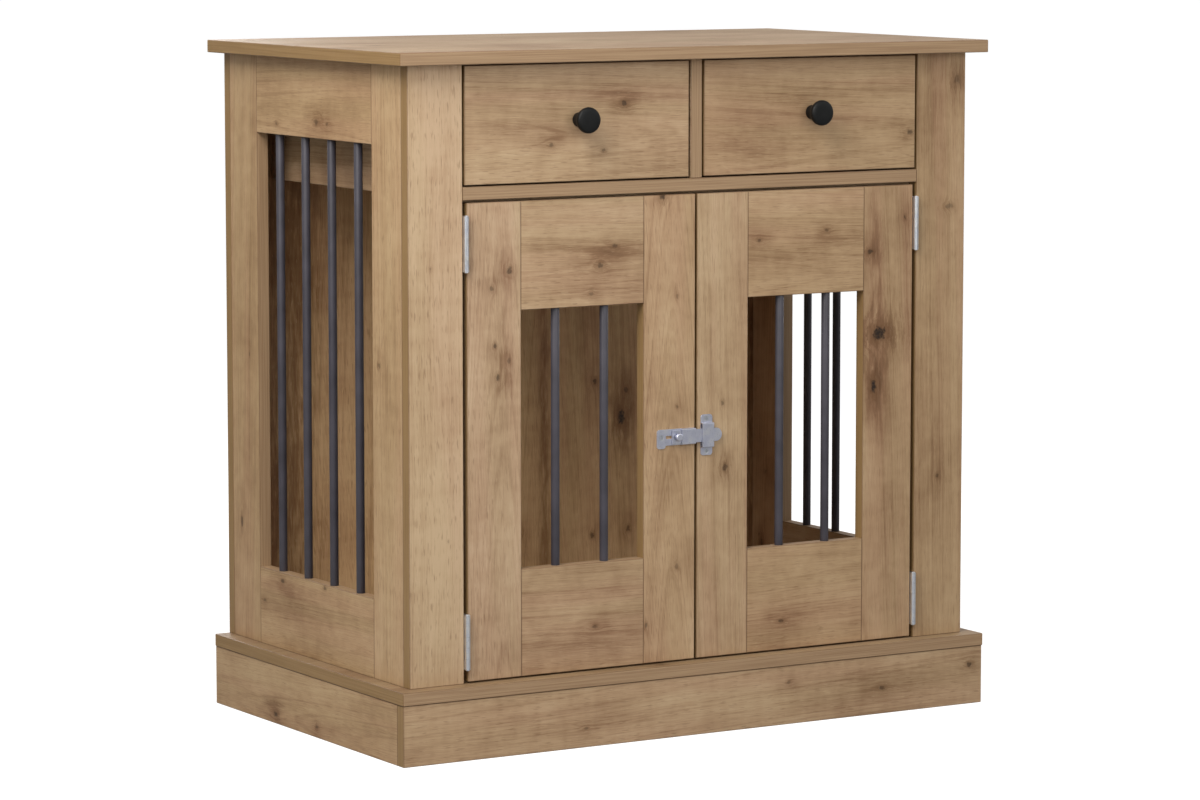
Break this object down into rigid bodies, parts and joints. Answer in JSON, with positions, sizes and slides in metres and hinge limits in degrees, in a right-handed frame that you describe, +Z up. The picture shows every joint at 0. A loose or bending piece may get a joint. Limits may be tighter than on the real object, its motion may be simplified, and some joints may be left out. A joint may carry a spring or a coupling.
{
  "type": "dog crate end table",
  "caption": "Side table over a dog crate: oak-effect boards on a plinth, two framed doors and side windows with round bars, two drawers, slide bolt latch.",
  "frame": {"origin": "on the floor under the middle of the bounding box", "axes": "+X to the right seen from the front, +Y from the doors to the back panel, +Z up"},
  "size_m": [0.8, 0.4894, 0.803],
  "materials": {
    "oak_board": "oak-effect foil with knots, satin",
    "drawer_board": "plain pale oak-effect foil",
    "hardboard": "smooth hardboard",
    "graphite_bar": "graphite powder coat, satin",
    "black_knob": "matte black",
    "zinc_hinge": "bright zinc plate",
    "zinc_latch": "bright zinc plate",
    "zinc_fastener": "zinc plate",
    "white_runner": "white epoxy"
  },
  "bodies": {
    "cabinet": {"tabletop": "oak_board", "floor_board": "oak_board", "plinth_front": "oak_board", "plinth_left": "oak_board", "plinth_right": "oak_board", "plinth_back": "oak_board", "back_panel": "oak_board", "drawer_shelf": "oak_board", "drawer_divider": "oak_board", "door_stop": "oak_board", "left_front_post": "oak_board", "left_bay_panel": "oak_board", "left_side_front_stile": "oak_board", "left_side_rear_stile": "oak_board", "left_side_top_rail": "oak_board", "left_side_bottom_rail": "oak_board", "left_side_bars": "graphite_bar", "right_front_post": "oak_board", "right_bay_panel": "oak_board", "right_side_front_stile": "oak_board", "right_side_rear_stile": "oak_board", "right_side_top_rail": "oak_board", "right_side_bottom_rail": "oak_board", "right_side_bars": "graphite_bar", "hinge_post_leaves": "zinc_hinge", "cabinet_fasteners": "zinc_fastener", "cabinet_runners": "white_runner"},
    "left_door": {"left_door_hinge_stile": "oak_board", "left_door_lock_stile": "oak_board", "left_door_top_rail": "oak_board", "left_door_bottom_rail": "oak_board", "left_door_bars": "graphite_bar", "left_door_hinge_leaves": "zinc_hinge", "left_door_screws": "zinc_fastener", "latch_plate": "zinc_latch"},
    "right_door": {"right_door_hinge_stile": "oak_board", "right_door_lock_stile": "oak_board", "right_door_top_rail": "oak_board", "right_door_bottom_rail": "oak_board", "right_door_bars": "graphite_bar", "right_door_hinge_leaves": "zinc_hinge", "right_door_screws": "zinc_fastener", "latch_keeper": "zinc_latch"},
    "latch_bolt": {"latch_bolt": "zinc_latch"},
    "left_drawer": {"left_drawer_front": "oak_board", "left_drawer_left_side": "drawer_board", "left_drawer_right_side": "drawer_board", "left_drawer_back": "drawer_board", "left_drawer_bottom": "hardboard", "left_drawer_sliders": "white_runner", "left_drawer_knob": "black_knob", "left_drawer_screws": "zinc_fastener"},
    "right_drawer": {"right_drawer_front": "oak_board", "right_drawer_left_side": "drawer_board", "right_drawer_right_side": "drawer_board", "right_drawer_back": "drawer_board", "right_drawer_bottom": "hardboard", "right_drawer_sliders": "white_runner", "right_drawer_knob": "black_knob", "right_drawer_screws": "zinc_fastener"}
  },
  "joints": [
    {"name": "left_door_hinge", "type": "hinge", "parent": "cabinet", "child": "left_door", "pos_m": [-0.30775, -0.22125, 0.3585], "axis": [0, 0, -1], "range_deg": [0, 175]},
    {"name": "right_door_hinge", "type": "hinge", "parent": "cabinet", "child": "right_door", "pos_m": [0.30775, -0.22125, 0.3585], "axis": [0, 0, 1], "range_deg": [0, 175]},
    {"name": "left_drawer_slide", "type": "slide", "parent": "cabinet", "child": "left_drawer", "axis": [0, -1, 0], "range_m": [0, 0.26]},
    {"name": "right_drawer_slide", "type": "slide", "parent": "cabinet", "child": "right_drawer", "axis": [0, -1, 0], "range_m": [0, 0.26]},
    {"name": "latch_bolt_slide", "type": "slide", "parent": "left_door", "child": "latch_bolt", "axis": [-1, 0, 0], "range_m": [0, 0.0335]}
  ]
}
